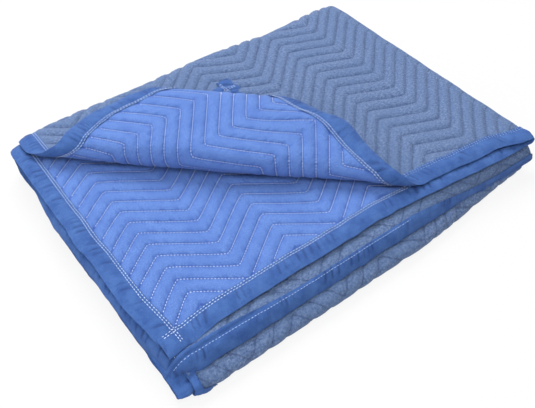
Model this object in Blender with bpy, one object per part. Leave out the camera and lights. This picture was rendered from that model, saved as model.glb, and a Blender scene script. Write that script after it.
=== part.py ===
"""Quilted moving blanket, folded to eight layers with one corner turned back.

The blanket is doubled across its width at a fold on the right, and the doubled
cloth then runs back and forth over its length in four lengths.  Two numbers give
every point of the cloth: "across", measured along the width from the left hem of
the top layer, and "along", measured from the front hem of the top layer.
Units are metres, +Z is up, and the pack lies on the plane z = 0.
"""
import math

import bmesh
import bpy
from mathutils import Vector

# The folded pack
LAYER_PITCH = 0.0084          # from the middle of one layer to the next
PLAIN_HALF = 0.0023           # half the thickness of the cloth away from the quilting
HEMMED_HALF = 0.0019          # half the thickness under a binding
PUFF_HALF = 0.0030            # half the thickness between two quilting lines
GROOVE_HALF = 0.0016          # half the thickness on a quilting line
FLOOR_LAYER = PLAIN_HALF      # height of the middle of the lowest layer
DOUBLED_RADIUS = LAYER_PITCH / 2

# The top doubled length: its right fold and its hems
TOP_RIGHT = 0.343
LOW_RIGHT = 0.327
LOW_RECESS = 0.030            # how far the lower folds stand back at the right front corner
LOW_FRONT_RECESS = 0.010      # and how far their front edge stands back there
LOW_SHRINK = 0.02             # share of its width that the lower cloth loses to ripples
TOP_LEFT = -0.305
SECOND_LEFT = -0.326
TOP_FRONT = -0.206
TOP_SET_BACK = 0.016          # how far the top layer's front hem stands back
BACK_TURN = 0.237             # where the back turns start
FRONT_TURN = -0.244           # where the front turn starts
LOW_FRONT = -0.243            # front hem of the third and fourth layers
FRONT_SLANT = 0.024           # how far forward the top layers run towards the right
SET_BACK_END = (0.27, 0.34)   # where the set-back dies away beside the right fold
WAVE_HEIGHT = 0.004           # the gentle waves of the back edge
WAVE_RATE = 24.0
FRONT_DIP = 0.06              # share of its height the pack loses at the right front corner
HEM_LIFT = 0.0012             # how far the hems at the lower left stand off the floor
PACK_CENTRE = Vector((0.0078, 0.0061, 0.0))

# The quilting: zigzag lines that run across the blanket
LINE_PITCH = 0.025
ZIGZAG_RISE = 0.054
TOP_RUN = 0.082               # length of one zigzag leg across the top layer
TOP_PEAK = 0.175
SECOND_RUN = 0.079
SECOND_PEAK = -0.251

# The binding
TAPE_WIDTH = 0.030
TAPE_CLEARANCE = 0.0004
TAPE_THICKNESS = 0.0008
SIDE_START = TAPE_WIDTH + 0.0005      # where a side binding starts behind a front one

# The corner that is turned back
CREASE_POINT = Vector((-0.279, 0.183))
CREASE_TURN = math.radians(-43.8)
ROLL_START = 0.009
ROLL_RADIUS = 0.021
PINCH_RADIUS = 0.010
# (length of the stretch, heading at its end in degrees), from the foot of the roll:
# once over the swell in the middle, and once over the pinched ends of the crease
SWELL_PROFILE = (
    (ROLL_RADIUS * math.radians(168), 12.0),
    (0.105, 8.0),
    (0.036, -76.0),
    (0.018, -76.0),
    (0.026, 0.0),
    (0.100, 0.0),
)
PINCH_PROFILE = (
    (PINCH_RADIUS * math.pi, 0.0),
    (0.050, -12.0),
    (0.020, -12.0),
    (0.020, 0.0),
    (0.250, 0.0),
)
CORNER_DRIFT = -0.014
DRIFT_REACH = (0.17, 0.29)
ROLL_CUTS = (0.004, 0.009, 0.013, 0.018, 0.0225, 0.027, 0.032, 0.042, 0.052)
PROFILE_CUTS = (2, 4, 1, 3, 1)
SWELL_LEFT = (-0.03, 0.17)            # along the crease: where the swell rises
SWELL_RIGHT = (0.28, 0.50)            # and where it falls again
SWELL_LEAST = (0.1, 0.4)              # what is left of it at the two ends

# Colours of the cloth and the tape
CLOTH_COLOUR = (0.17, 0.26, 0.48, 1.0)
TAPE_COLOUR = (0.06, 0.16, 0.45, 1.0)


def smooth(low, high, value):
    """0 below low, 1 above high, and a smooth step between them."""
    share = min(max((value - low) / (high - low), 0.0), 1.0)
    return share * share * (3 - 2 * share)


# ---------------------------------------------------------------- the path of the folds

TOP_ACROSS = TOP_RIGHT - DOUBLED_RADIUS - TOP_LEFT
HALF_TURN = math.pi * DOUBLED_RADIUS
WIDTH = TOP_ACROSS + HALF_TURN + TOP_RIGHT - DOUBLED_RADIUS - SECOND_LEFT

OUTER_RADIUS = 3 * LAYER_PITCH
INNER_RADIUS = LAYER_PITCH
STRETCHES = (
    BACK_TURN - TOP_FRONT,
    math.pi * OUTER_RADIUS,
    BACK_TURN - FRONT_TURN,
    math.pi * INNER_RADIUS,
    BACK_TURN - FRONT_TURN,
    math.pi * INNER_RADIUS,
    BACK_TURN - LOW_FRONT,
)
STARTS = [sum(STRETCHES[:i]) for i in range(len(STRETCHES) + 1)]
LENGTH = STARTS[-1]


def level(step):
    """Height of a doubled length whose middle is step pitches above the floor layer."""
    return FLOOR_LAYER + step * LAYER_PITCH


def fold_path(along):
    """Middle line of the doubled cloth: y, z and the direction of its outer side."""
    top, bottom, third, fourth = level(6.5), level(0.5), level(2.5), level(4.5)
    if along <= STARTS[1]:
        return TOP_FRONT + along, top, 0.0, 1.0
    if along <= STARTS[2]:
        turn = (along - STARTS[1]) / OUTER_RADIUS
        side, up = math.sin(turn), math.cos(turn)
        return BACK_TURN + OUTER_RADIUS * side, level(3.5) + OUTER_RADIUS * up, side, up
    if along <= STARTS[3]:
        return BACK_TURN - (along - STARTS[2]), bottom, 0.0, -1.0
    if along <= STARTS[4]:
        turn = (along - STARTS[3]) / INNER_RADIUS
        side, up = -math.sin(turn), -math.cos(turn)
        return FRONT_TURN + INNER_RADIUS * side, level(1.5) + INNER_RADIUS * up, side, up
    if along <= STARTS[5]:
        return FRONT_TURN + along - STARTS[4], third, 0.0, 1.0
    if along <= STARTS[6]:
        turn = (along - STARTS[5]) / INNER_RADIUS
        side, up = math.sin(turn), -math.cos(turn)
        return BACK_TURN + INNER_RADIUS * side, level(3.5) + INNER_RADIUS * up, -side, -up
    return BACK_TURN - (along - STARTS[6]), fourth, 0.0, -1.0


def doubled_profile(across, along):
    """x and the distance from the middle line of the doubled cloth."""
    lower = smooth(STARTS[1], STARTS[2], along)
    centre = TOP_RIGHT - DOUBLED_RADIUS + (LOW_RIGHT - TOP_RIGHT) * lower
    shrink = 1 - LOW_SHRINK * lower
    if across <= TOP_ACROSS:
        return centre - (TOP_ACROSS - across) * shrink, DOUBLED_RADIUS
    if across <= TOP_ACROSS + HALF_TURN:
        turn = (across - TOP_ACROSS) / DOUBLED_RADIUS
        return centre + DOUBLED_RADIUS * math.sin(turn), DOUBLED_RADIUS * math.cos(turn)
    return centre - (across - TOP_ACROSS - HALF_TURN) * shrink, -DOUBLED_RADIUS


# ---------------------------------------------------------------- the turned-back corner

CREASE_ALONG = Vector((math.cos(CREASE_TURN), math.sin(CREASE_TURN)))
CREASE_BACK = Vector((-CREASE_ALONG.y, CREASE_ALONG.x))
PROFILE_STEP = 0.0005


def corner_curve(profile):
    """Points of the turned-back cloth, one for each small step from the roll's foot."""
    back, height, heading = 0.0, 0.0, 180.0
    points = [(back, height)]
    for length, end_heading in profile:
        steps = round(length / PROFILE_STEP)
        for step in range(steps):
            angle = math.radians(heading + (end_heading - heading) * (step + 0.5) / steps)
            back += math.cos(angle) * length / steps
            height += math.sin(angle) * length / steps
            points.append((back, height))
        heading = end_heading
    return points


SWELL_CURVE = corner_curve(SWELL_PROFILE)
PINCH_CURVE = corner_curve(PINCH_PROFILE)


def on_curve(points, distance):
    """Place on a curve at a distance from its start."""
    place = min(distance / PROFILE_STEP, len(points) - 1.001)
    index = int(place)
    share = place - index
    (back, height), (next_back, next_height) = points[index], points[index + 1]
    return back + (next_back - back) * share, height + (next_height - height) * share


def behind_roll(x, y):
    """Distance of a flat point behind the line where the cloth starts to turn up."""
    return (Vector((x, y)) - CREASE_POINT).dot(CREASE_BACK) - ROLL_START


def swell(x, y):
    """How far the turned-back cloth swells up: 0 at the pinched ends, 1 in the middle."""
    along_crease = (Vector((x, y)) - CREASE_POINT).dot(CREASE_ALONG)
    rise, fall = smooth(*SWELL_LEFT, along_crease), smooth(*SWELL_RIGHT, along_crease)
    least_left, least_right = SWELL_LEAST
    return (least_left + (1 - least_left) * rise) * (1 - (1 - least_right) * fall)


def turn_back(x, y, z):
    """Move a point of the top layer to its place on the turned-back corner."""
    beyond = -behind_roll(x, y)
    if beyond <= 0:
        return x, y, z
    share = swell(x, y)
    high = on_curve(SWELL_CURVE, beyond)
    low = on_curve(PINCH_CURVE, beyond)
    back = low[0] + (high[0] - low[0]) * share
    height = low[1] + (high[1] - low[1]) * share
    drift = CORNER_DRIFT * smooth(*DRIFT_REACH, beyond)
    move = CREASE_BACK * (beyond + back) + CREASE_ALONG * drift
    return x + move.x, y + move.y, z + height


# ---------------------------------------------------------------- the whole mapping

def surface(across, along):
    """Place of the middle of the cloth."""
    x, offset = doubled_profile(across, along)
    y, z, side, up = fold_path(along)
    y += offset * side
    z += offset * up
    lower = smooth(STARTS[1], STARTS[2], along)
    near_front = 1 - smooth(FRONT_TURN, 0.05, y)
    x -= LOW_RECESS * lower * smooth(0.15, 0.33, x) * near_front
    y += LOW_FRONT_RECESS * lower * smooth(0.18, 0.33, x) * near_front
    y -= FRONT_SLANT * smooth(0.02, 0.34, x) * (1 - smooth(0.04, STARTS[1], along))
    upper_leg = smooth(-DOUBLED_RADIUS, DOUBLED_RADIUS, offset)
    set_back = TOP_SET_BACK * max(1 - along / STARTS[1], 0.0)
    y += set_back * upper_leg * (1 - smooth(*SET_BACK_END, x))
    y += WAVE_HEIGHT * math.sin(x * WAVE_RATE + 0.6) * smooth(0.0, BACK_TURN, y)
    dip = FRONT_DIP * smooth(0.05, 0.34, x) * (1 - smooth(-0.25, 0.1, y))
    z = FLOOR_LAYER + (z - FLOOR_LAYER) * (1 - dip)
    z += HEM_LIFT * (1 - smooth(-0.28, -0.22, x)) * (1 - z / level(8))
    if along < STARTS[1] and offset == DOUBLED_RADIUS:
        x, y, z = turn_back(x, y, z)
    return Vector((x, y, z)) - PACK_CENTRE


def direction(across, along):
    """Unit vector out of the side of the cloth that shows on the pack's outside."""
    step = 0.0002
    run_across = surface(across + step, along) - surface(across - step, along)
    run_along = surface(across, along + step) - surface(across, along - step)
    return run_across.cross(run_along).normalized()


# ---------------------------------------------------------------- the quilted cloth

def zigzag(x, peak, run):
    """Height of a zigzag line above its lowest points."""
    place = abs((x - peak) / run) % 2
    return ZIGZAG_RISE * (1 - min(place, 2 - place))


def leg_of(across):
    """Quilting over a point of the doubled cloth: its x, a peak of the zigzag and its run."""
    if across < TOP_ACROSS:
        return TOP_LEFT + across, TOP_PEAK, TOP_RUN
    return SECOND_LEFT + WIDTH - across, SECOND_PEAK, SECOND_RUN


def quilted(across, along):
    """Whether a point lies in the field of raised quilting."""
    if not SIDE_START <= along <= STARTS[1]:
        return False
    if TAPE_WIDTH <= across <= TOP_ACROSS - 0.006:
        return True
    second = TOP_ACROSS + HALF_TURN
    if not second + 0.22 <= across <= WIDTH - TAPE_WIDTH:
        return False
    return behind_roll(SECOND_LEFT + WIDTH - across, TOP_FRONT + along) < 0.03


def half_thickness(across, along):
    """Half the thickness of the cloth at a point."""
    edge = min(across, WIDTH - across, along, LENGTH - along)
    if edge < SIDE_START + 0.0001:
        return HEMMED_HALF
    if not quilted(across, along):
        return PLAIN_HALF
    x, peak, run = leg_of(across)
    place = ((TOP_FRONT + along - zigzag(x, peak, run)) / LINE_PITCH) % 1
    puff = 2 * min(place, 1 - place)
    return GROOVE_HALF + (PUFF_HALF - GROOVE_HALF) * puff


def spread(start, end, count):
    """Evenly spaced values from start up to but not including end."""
    return [start + (end - start) * i / count for i in range(count)]


def grid_lines_across():
    """Places of the mesh lines that run along the blanket."""
    lines = [0.0, TAPE_WIDTH]
    first = TOP_PEAK - 5 * TOP_RUN
    lines += [first + i * TOP_RUN - TOP_LEFT for i in range(7)]
    lines += [TOP_ACROSS - 0.006]
    lines += spread(TOP_ACROSS, TOP_ACROSS + HALF_TURN, 5)
    lines += [TOP_ACROSS + HALF_TURN, TOP_ACROSS + HALF_TURN + 0.012]
    lines += [SECOND_LEFT + WIDTH - (SECOND_PEAK + i * SECOND_RUN) for i in range(7)]
    lines += [WIDTH - TAPE_WIDTH, WIDTH]
    kept = []
    for value in sorted(lines):
        if 0 <= value <= WIDTH and (not kept or value - kept[-1] > 0.0008):
            kept.append(value)
    return kept


def grid_lines_along():
    """Places of the mesh lines that run across the blanket."""
    lines = [0.0, TAPE_WIDTH, SIDE_START] + spread(0.12, STARTS[1], 4)
    counts = (9, 3, 6, 3, 6, 3)
    for count, start, end in zip(counts, STARTS[1:], STARTS[2:]):
        lines += spread(start, end, count)
    return lines + [LENGTH - SIDE_START, LENGTH - TAPE_WIDTH, LENGTH]


def flat_grid():
    """The blanket laid out flat, as a mesh of across and along values."""
    mesh = bmesh.new()
    along_lines = grid_lines_along()
    columns = [[mesh.verts.new((across, along, 0)) for along in along_lines]
               for across in grid_lines_across()]
    for left, right in zip(columns, columns[1:]):
        for i in range(len(left) - 1):
            mesh.faces.new((left[i], right[i], right[i + 1], left[i + 1]))
    return mesh


def cut(mesh, point, normal, chosen):
    """Cut the chosen faces along a line."""
    faces = [face for face in mesh.faces if chosen(face.calc_center_median())]
    edges = {edge for face in faces for edge in face.edges}
    corners = {corner for face in faces for corner in face.verts}
    bmesh.ops.bisect_plane(
        mesh,
        geom=faces + list(edges) + list(corners),
        plane_co=point,
        plane_no=normal,
        dist=1e-5,
    )


def cut_quilting(mesh, lines):
    """Cut each zigzag leg along its quilting lines and half-way between them."""
    for start, end in zip(lines, lines[1:]):
        middle = (start + end) / 2
        x, peak, run = leg_of(middle)
        (x_start, _, _), (x_end, _, _) = leg_of(start + 1e-4), leg_of(end - 1e-4)
        rise = zigzag(x_end, peak, run) - zigzag(x_start, peak, run)
        slope = rise / (end - start - 2e-4)
        reach = abs(slope) * (end - start)
        height = zigzag(x, peak, run) - TOP_FRONT
        first = math.floor((-reach - height) / (LINE_PITCH / 2))
        last = math.ceil((STARTS[1] + reach - height) / (LINE_PITCH / 2))

        def in_leg(centre):
            return start < centre.x < end and quilted(centre.x, centre.y)

        for index in range(first, last + 1):
            place = (middle, height + index * LINE_PITCH / 2, 0)
            cut(mesh, place, (-slope, 1, 0), in_leg)


def cut_roll(mesh):
    """Cut the top layer along lines that let it follow the turned-back corner."""
    places = list(ROLL_CUTS)
    reach = SWELL_PROFILE[0][0]
    for (length, _), count in zip(SWELL_PROFILE[1:], PROFILE_CUTS):
        places += spread(reach, reach + length, count)
        reach += length
    for place in places:
        point = CREASE_POINT + CREASE_BACK * (ROLL_START - place)
        take_up = 1 - TOP_SET_BACK / STARTS[1]
        flat = (point.x - TOP_LEFT, (point.y - TOP_FRONT - TOP_SET_BACK) / take_up, 0)
        cut(mesh, flat, (CREASE_BACK.x, CREASE_BACK.y * take_up, 0),
            lambda centre: centre.x < TOP_ACROSS and centre.y < STARTS[1])


def raise_sheet(mesh):
    """Turn the flat mesh into the closed folded sheet."""
    solid = bmesh.new()
    upper, lower = {}, {}
    for vert in mesh.verts:
        across, along = vert.co.x, vert.co.y
        place = surface(across, along)
        out = direction(across, along) * half_thickness(across, along)
        upper[vert] = solid.verts.new(place + out)
        lower[vert] = solid.verts.new(place - out)
    for face in mesh.faces:
        solid.faces.new([upper[vert] for vert in face.verts])
        solid.faces.new([lower[vert] for vert in reversed(face.verts)])
    for edge in mesh.edges:
        if edge.is_boundary:
            first, second = edge.verts
            loop = edge.link_loops[0]
            if loop.vert != first:
                first, second = second, first
            solid.faces.new((upper[second], upper[first], lower[first], lower[second]))
    bmesh.ops.triangulate(solid, faces=[face for face in solid.faces if len(face.verts) > 3])
    return solid


def flat_blanket():
    """The blanket laid out flat, cut along its quilting and its turned-back corner."""
    mesh = flat_grid()
    cut_quilting(mesh, grid_lines_across())
    cut_roll(mesh)
    bmesh.ops.remove_doubles(mesh, verts=mesh.verts, dist=2e-4)
    bmesh.ops.triangulate(mesh, faces=mesh.faces)
    return mesh


# ---------------------------------------------------------------- the binding

def hem_outward(across, along):
    """Direction out of the cloth at a hem, or none away from the hems."""
    step = 0.0005
    outward = Vector((0, 0, 0))
    if across <= 0 or across >= WIDTH:
        inner = min(max(across, step), WIDTH - step)
        run = surface(inner + step, along) - surface(inner - step, along)
        outward += run.normalized() * (1 if across > 0 else -1)
    if along <= 0 or along >= LENGTH:
        inner = min(max(along, step), LENGTH - step)
        run = surface(across, inner + step) - surface(across, inner - step)
        outward += run.normalized() * (1 if along > 0 else -1)
    return outward


def tape_skins(vert, solid):
    """The four corners of the tape over one point of the cloth, from top to bottom."""
    across, along = vert.co.x, vert.co.y
    across = WIDTH if across > WIDTH - 1e-5 else across
    along = LENGTH if along > LENGTH - 1e-5 else along
    place = surface(across, along)
    out = direction(across, along)
    outward = hem_outward(across, along)
    inner = HEMMED_HALF + TAPE_CLEARANCE
    outer = inner + TAPE_THICKNESS
    near = place + outward * TAPE_CLEARANCE
    far = place + outward * (TAPE_CLEARANCE + TAPE_THICKNESS)
    corners = (far + out * outer, near + out * inner, near - out * inner, far - out * outer)
    return [solid.verts.new(corner) for corner in corners]


def at_hem(vert):
    """Whether a point of the flat mesh lies on a hem of the blanket."""
    close = 1e-5
    return (vert.co.x < close or vert.co.x > WIDTH - close
            or vert.co.y < close or vert.co.y > LENGTH - close)


def make_tape(mesh, covers):
    """The binding over the part of the flat mesh that covers(across, along) names."""
    faces = [face for face in mesh.faces if covers(*face.calc_center_median().xy)]
    chosen = set(faces)
    solid = bmesh.new()
    skins = {vert: tape_skins(vert, solid) for face in faces for vert in face.verts}
    hem_ends = {}
    for face in faces:
        for first, last in ((0, 1), (2, 3)):
            solid.faces.new([skins[vert][first] for vert in face.verts])
            solid.faces.new([skins[vert][last] for vert in reversed(face.verts)])
        for edge in face.edges:
            if sum(other in chosen for other in edge.link_faces) > 1:
                continue
            start, end = edge.verts
            on_hem = edge.is_boundary and at_hem(start) and at_hem(end)
            for first, last in ((0, 3), (1, 2)) if on_hem else ((0, 1), (2, 3)):
                solid.faces.new((skins[start][first], skins[end][first],
                                 skins[end][last], skins[start][last]))
            if on_hem:
                for vert in edge.verts:
                    hem_ends[vert] = hem_ends.get(vert, 0) + 1
    for vert, count in hem_ends.items():
        if count == 1:
            solid.faces.new(skins[vert])
    bmesh.ops.triangulate(solid, faces=solid.faces)
    bmesh.ops.recalc_face_normals(solid, faces=solid.faces)
    return solid


# ---------------------------------------------------------------- objects

def material(name, colour, roughness):
    """A plain cloth material."""
    result = bpy.data.materials.new(name)
    result.use_nodes = True
    shader = result.node_tree.nodes["Principled BSDF"]
    shader.inputs["Base Color"].default_value = colour
    shader.inputs["Roughness"].default_value = roughness
    shader.inputs["Metallic"].default_value = 0.0
    result.diffuse_color = colour
    return result


def add_object(name, solid, finish):
    """Put a finished mesh into the scene under its own name."""
    data = bpy.data.meshes.new(name)
    solid.to_mesh(data)
    solid.free()
    data.materials.append(finish)
    piece = bpy.data.objects.new(name, data)
    bpy.context.scene.collection.objects.link(piece)
    return piece


def main():
    for item in list(bpy.data.objects):
        bpy.data.objects.remove(item)
    cloth_finish = material("quilted_cotton", CLOTH_COLOUR, 0.92)
    tape_finish = material("binding_tape", TAPE_COLOUR, 0.85)
    flat = flat_blanket()
    add_object("quilted_cloth", raise_sheet(flat), cloth_finish)

    def between_fronts(along):
        return SIDE_START < along < LENGTH - SIDE_START

    bindings = (
        ("front_binding_top", lambda across, along: along < TAPE_WIDTH),
        ("front_binding_low", lambda across, along: along > LENGTH - TAPE_WIDTH),
        ("side_binding_upper", lambda across, along: across < TAPE_WIDTH and between_fronts(along)),
        ("side_binding_lower",
         lambda across, along: across > WIDTH - TAPE_WIDTH and between_fronts(along)),
    )
    for name, covers in bindings:
        add_object(name, make_tape(flat, covers), tape_finish)
    flat.free()


main()
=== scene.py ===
"""Quilted moving blanket, folded to a flat pack with one corner turned back.

The cloth is one sheet.  "Across" is measured along its width from the left hem of the
top layer, and "along" from the front hem of the top layer; the folds below take every
such pair to its place in the pack.  Units are metres.
"""
import math

import bpy
import numpy as np
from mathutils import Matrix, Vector


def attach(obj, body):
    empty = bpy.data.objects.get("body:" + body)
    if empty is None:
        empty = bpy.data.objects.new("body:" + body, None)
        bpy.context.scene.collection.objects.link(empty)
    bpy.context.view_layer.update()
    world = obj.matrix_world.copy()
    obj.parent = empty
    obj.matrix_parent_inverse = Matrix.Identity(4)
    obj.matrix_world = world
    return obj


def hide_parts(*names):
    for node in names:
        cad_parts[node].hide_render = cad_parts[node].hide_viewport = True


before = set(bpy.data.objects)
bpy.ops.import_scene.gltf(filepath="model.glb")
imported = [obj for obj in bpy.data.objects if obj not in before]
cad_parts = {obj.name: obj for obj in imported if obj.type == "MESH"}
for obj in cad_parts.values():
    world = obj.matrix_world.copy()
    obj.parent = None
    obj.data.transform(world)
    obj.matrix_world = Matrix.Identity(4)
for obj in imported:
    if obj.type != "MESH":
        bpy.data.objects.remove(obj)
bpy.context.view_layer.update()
scene = bpy.context.scene

# ---- the folded pack
LAYER_PITCH = 0.0084  # from the middle of one layer to the next
FLOOR_LAYER = 0.0023  # height of the middle of the lowest layer
DOUBLED_RADIUS = LAYER_PITCH / 2
TOP_RIGHT, LOW_RIGHT = 0.343, 0.327  # right ends of the upper and lower doubled lengths
TOP_LEFT, SECOND_LEFT = -0.305, -0.326  # left hems of the top and second layers
TOP_FRONT, LOW_FRONT = -0.206, -0.243  # front hems of the first two layers and of the last two
BACK_TURN, FRONT_TURN = 0.237, -0.244  # where the back and the front turns start
LOW_SHRINK = 0.02  # share of its width that the lower cloth loses to ripples
PACK_CENTRE = np.array((0.0078, 0.0061, 0.0))

# The right front corner: how far the lowest and the last lower length stand back, and how the front
# hems slant, stand back and dip towards it
LOW_RECESS, LOW_FRONT_RECESS = (0.003, -0.014), (0.019, -0.002)
RECESS_RIGHT, FRONT_RECESS_RIGHT, RECESS_BACK = (0.15, 0.33), (0.06, 0.33), 0.05
FRONT_SLANT, SLANT_RIGHT, SLANT_START = 0.024, (0.02, 0.34), 0.04
TOP_SET_BACK, SET_BACK_END = 0.016, (0.27, 0.34)
FRONT_DIP, DIP_RIGHT, DIP_FRONT = 0.06, (0.05, 0.34), (-0.25, 0.1)

# The back edge: waves, and bulges given by depth, centre and width
WAVE_HEIGHT, WAVE_RATE, WAVE_START = 0.004, 24.0, 0.6
BACK_BULGES = ((0.007, -0.085, 0.085), (0.004, 0.12, 0.05))

# The lower layers at the left and front; a pair of x, y or height says where something fades
HEM_LIFT, LIFT_LEFT = 0.0012, (-0.28, -0.22)
FOLD_FLAT, FOLD_FRONT = 0.22, (-0.245, -0.19)
LEFT_TUCK, TUCK_LEFT, TUCK_FRONT, TUCK_BACK = 0.001, (-0.33, -0.26), (-0.25, -0.20), (0.05, 0.18)
CORNER_ROUND, CORNER_LEFT, ROUND_SHARE = 0.030, -0.318, 0.40
BACK_CORNER_TUCK, TUCK_FROM_Y, TUCK_TO_X, TUCK_TO_Z = 0.010, (0.06, 0.20), (-0.30, -0.18), (0.035, 0.065)
HEM_DROOP_FROM = 0.030
LEFT_DROOP_FROM, LEFT_DROOP_BACK, LEFT_SPREAD, SPREAD_LEFT = -0.309, (0.06, 0.18), 0.006, (-0.32, -0.28)
CORNER_DROOP_FROM, CORNER_DROOP_REACH = -0.291, (0.035, 0.16)
CORNER_PULL, PULL_REACH = (0.009, -0.006, -0.008), 0.11
WANDER, WANDER_CELL, WANDER_BY_LAYER, WANDER_LEFT = 0.0012, 0.042, 90, (-0.31, -0.24)
LOWEST_MIDDLE, FLOOR_EASE = 0.0024, 0.0015

# The turned-back corner, with stretches of its profile as (length, heading at its end in degrees)
CREASE_POINT = np.array((-0.279, 0.183))
CREASE_TURN = math.radians(-43.8)
ROLL_START, ROLL_RADIUS, PINCH_RADIUS = 0.009, 0.021, 0.010
SWELL_PROFILE = ((ROLL_RADIUS * math.radians(168), 12.0), (0.088, 6.0), (0.040, -48.0),
                 (0.040, -48.0), (0.030, 0.0), (0.100, 0.0))
PINCH_PROFILE = ((PINCH_RADIUS * math.pi, 0.0), (0.050, -12.0), (0.020, -12.0),
                 (0.020, 0.0), (0.250, 0.0))
CURVE_STEP = 0.0005
SWELL_GROWS, SWELL_FADES = (-0.03, 0.17), (0.28, 0.50)  # places along the crease
SWELL_SHARES = (0.55, 1.0, 0.4)  # before, between and beyond them
CORNER_DRIFT, DRIFT_REACH = -0.001, (0.17, 0.29)
LEFT_HEM_PUSHES = ((0.022, 0.034, 0.030), (-0.009, 0.110, 0.022))  # size, place and width
LEFT_HEM_REACH, PUSH_START = (TOP_LEFT + 0.015, TOP_LEFT + 0.090), (0.0, 0.02)
FRONT_HEM_PUSH = ((0.014, 0.108, 0.030),)
FRONT_HEM_REACH, FRONT_PUSH_RIGHT = (TOP_FRONT + 0.010, TOP_FRONT + 0.110), (0.12, 0.2)

# Flat sizes: the two widths of a doubled length, and the starts of the lengths and turns
TOP_ACROSS = TOP_RIGHT - DOUBLED_RADIUS - TOP_LEFT
HALF_TURN = math.pi * DOUBLED_RADIUS
SECOND = TOP_ACROSS + HALF_TURN
WIDTH = SECOND + TOP_RIGHT - DOUBLED_RADIUS - SECOND_LEFT
OUTER_RADIUS, INNER_RADIUS = 3 * LAYER_PITCH, LAYER_PITCH
STARTS = np.cumsum((0, BACK_TURN - TOP_FRONT, math.pi * OUTER_RADIUS, BACK_TURN - FRONT_TURN,
                    math.pi * INNER_RADIUS, BACK_TURN - FRONT_TURN, math.pi * INNER_RADIUS,
                    BACK_TURN - LOW_FRONT))
LENGTH = STARTS[-1]

# The quilting: pitch of its lines, and length, first peak and rise of the zigzag's legs
TOP_PITCH, SECOND_PITCH = 0.0257, 0.025
TOP_RUN, TOP_PEAK, TOP_RISE, RISE_CHANGES = 0.080, 0.175, (0.0635, 0.053), (-0.02, 0.10)
SECOND_RUN, SECOND_PEAK, SECOND_RISE = 0.079, -0.251, 0.054
TOP_LINE, SECOND_LINE, LINES_MEET = -0.0042, 0.050, 0.10
TOP_DRIFT, DRIFT_FROM, DRIFT_EASE, DRIFT_ZERO = 0.29, 0.0312, 0.03, 0.1438
CORNER_SOFTNESS = 0.07
TOP_LINES, SECOND_LINES, OUTER_LINES = range(-9, 24), range(-12, 24), range(-9, 28)

# Half thicknesses: on a line and between two lines, at a hem and at the very edge
OUTSIDE_HALVES, INSIDE_HALVES, LOW_PUFF_LOSS = (0.0006, 0.0039), (0.0011, 0.0032), 0.0009
PUFF_SHAPE = 3.6
HEMMED, EDGE_HALF, EDGE_EASE = 0.0019, 0.0004, (-0.003, 0.014)
HAIRPIN_HALF, HAIRPIN_EASE = 0.0021, (0.004, 0.016)
RIPPLES = ((0.0011, 0.075, 1), (0.0006, 0.032, 2), (0.00036, 0.009, 3))  # height, cell and seed
PLEAT_DEPTH, PLEAT_REACH, PLEAT_CELL, PLEAT_STRETCH = 0.0016, (0.016, 0.06), 0.0048, 0.15

TAPE = 0.0275  # from a hem to the inner edge of its binding
STRAIGHT_FROM = STARTS[2] + 0.20  # from here on the mesh rows run straight across


def smooth(low, high, value):
    """Rises from 0 to 1 between low and high."""
    share = np.clip((value - low) / (high - low), 0, 1)
    return share * share * (3 - 2 * share)


def fade(low, high, value):
    """Falls from 1 to 0 between low and high."""
    return 1 - smooth(low, high, value)


def hump(value, centre, width):
    return np.exp(-((value - centre) / width) ** 2)


def humps(value, shapes):
    """Sum of humps, each given by its size, centre and width."""
    return sum(size * hump(value, centre, width) for size, centre, width in shapes)


def blend(ends, share):
    """The value that lies this share of the way between two ends."""
    return ends[0] + (ends[1] - ends[0]) * share


def level(step):
    return FLOOR_LAYER + step * LAYER_PITCH


def fold_path(along):
    """Middle of the doubled cloth: y, z, and the direction of its outer side."""
    back = (along - STARTS[1]) / OUTER_RADIUS
    front = (along - STARTS[3]) / INNER_RADIUS
    inner = (along - STARTS[5]) / INNER_RADIUS
    stretch = [along <= start for start in STARTS[1:7]]
    y = np.select(stretch, [
        TOP_FRONT + along, BACK_TURN + OUTER_RADIUS * np.sin(back),
        BACK_TURN - (along - STARTS[2]), FRONT_TURN - INNER_RADIUS * np.sin(front),
        FRONT_TURN + along - STARTS[4], BACK_TURN + INNER_RADIUS * np.sin(inner),
    ], BACK_TURN - (along - STARTS[6]))
    z = np.select(stretch, [
        level(6.5), level(3.5) + OUTER_RADIUS * np.cos(back), level(0.5),
        level(1.5) - INNER_RADIUS * np.cos(front), level(2.5),
        level(3.5) - INNER_RADIUS * np.cos(inner),
    ], level(4.5))
    side = np.select(stretch, [0.0, np.sin(back), 0.0, -np.sin(front), 0.0, -np.sin(inner)], 0.0)
    up = np.select(stretch, [1.0, np.cos(back), -1.0, -np.cos(front), 1.0, np.cos(inner)], -1.0)
    return y, z, side, up


def doubled(across, along):
    """x, and the distance from the middle of the doubled cloth."""
    lower = smooth(STARTS[1], STARTS[2], along)
    centre = TOP_RIGHT - DOUBLED_RADIUS + (LOW_RIGHT - TOP_RIGHT) * lower
    shrink = 1 - LOW_SHRINK * lower
    turn = np.clip((across - TOP_ACROSS) / DOUBLED_RADIUS, 0, math.pi)
    x = centre + DOUBLED_RADIUS * np.sin(turn)
    x = np.where(across < TOP_ACROSS, centre - (TOP_ACROSS - across) * shrink, x)
    x = np.where(across > SECOND, centre - (across - SECOND) * shrink, x)
    return x, DOUBLED_RADIUS * np.cos(turn)


CREASE = np.array((math.cos(CREASE_TURN), math.sin(CREASE_TURN)))
BEHIND = np.array((-CREASE[1], CREASE[0]))


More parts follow.
